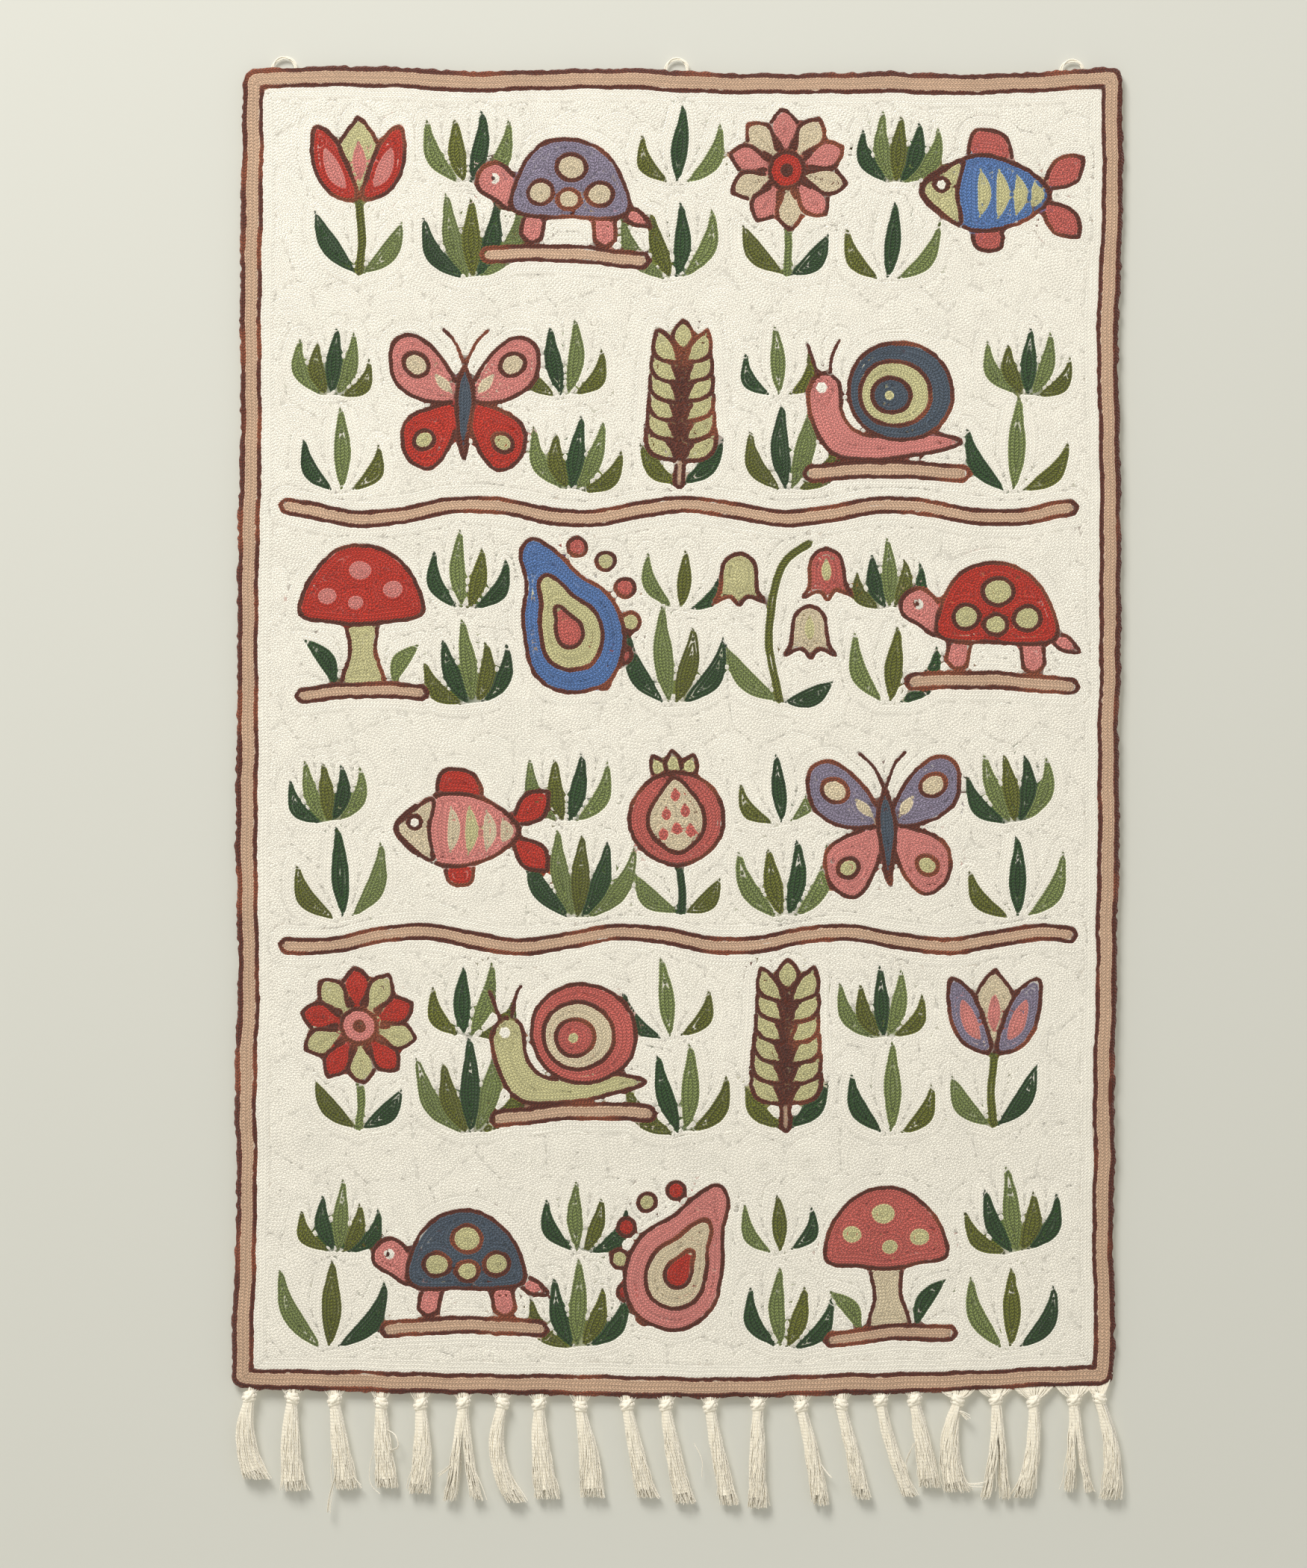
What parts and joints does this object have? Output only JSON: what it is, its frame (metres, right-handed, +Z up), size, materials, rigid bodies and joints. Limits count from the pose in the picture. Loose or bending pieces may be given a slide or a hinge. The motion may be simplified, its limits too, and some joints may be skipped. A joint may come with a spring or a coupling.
{
  "type": "embroidered wall tapestry",
  "caption": "Flat rectangular chain-stitched wall tapestry with a narrow striped border, small hanging loops sewn along the top and a row of knotted tassels below.",
  "frame": {"origin": "middle of the cloth's top edge, half way through its thickness", "axes": "+X to the viewer's right, +Y towards the wall, +Z up"},
  "size_m": [0.616, 0.0104, 1.0056],
  "materials": {
    "stitched_wool": "matt wool chain stitch in rows, off-white ground with coloured motifs",
    "loop_thread": "matt twisted cotton yarn",
    "tassel_cotton": "matt loose cotton threads"
  },
  "bodies": {
    "root": {"panel": "stitched_wool", "loop_left": "loop_thread", "loop_middle": "loop_thread", "loop_right": "loop_thread", "tassel_01": "tassel_cotton", "tassel_02": "tassel_cotton", "tassel_03": "tassel_cotton", "tassel_04": "tassel_cotton", "tassel_05": "tassel_cotton", "tassel_06": "tassel_cotton", "tassel_07": "tassel_cotton", "tassel_08": "tassel_cotton", "tassel_09": "tassel_cotton", "tassel_10": "tassel_cotton", "tassel_11": "tassel_cotton", "tassel_12": "tassel_cotton", "tassel_13": "tassel_cotton", "tassel_14": "tassel_cotton", "tassel_15": "tassel_cotton", "tassel_16": "tassel_cotton", "tassel_17": "tassel_cotton", "tassel_18": "tassel_cotton", "tassel_19": "tassel_cotton", "tassel_20": "tassel_cotton", "tassel_21": "tassel_cotton", "tassel_22": "tassel_cotton"}
  },
  "joints": []
}
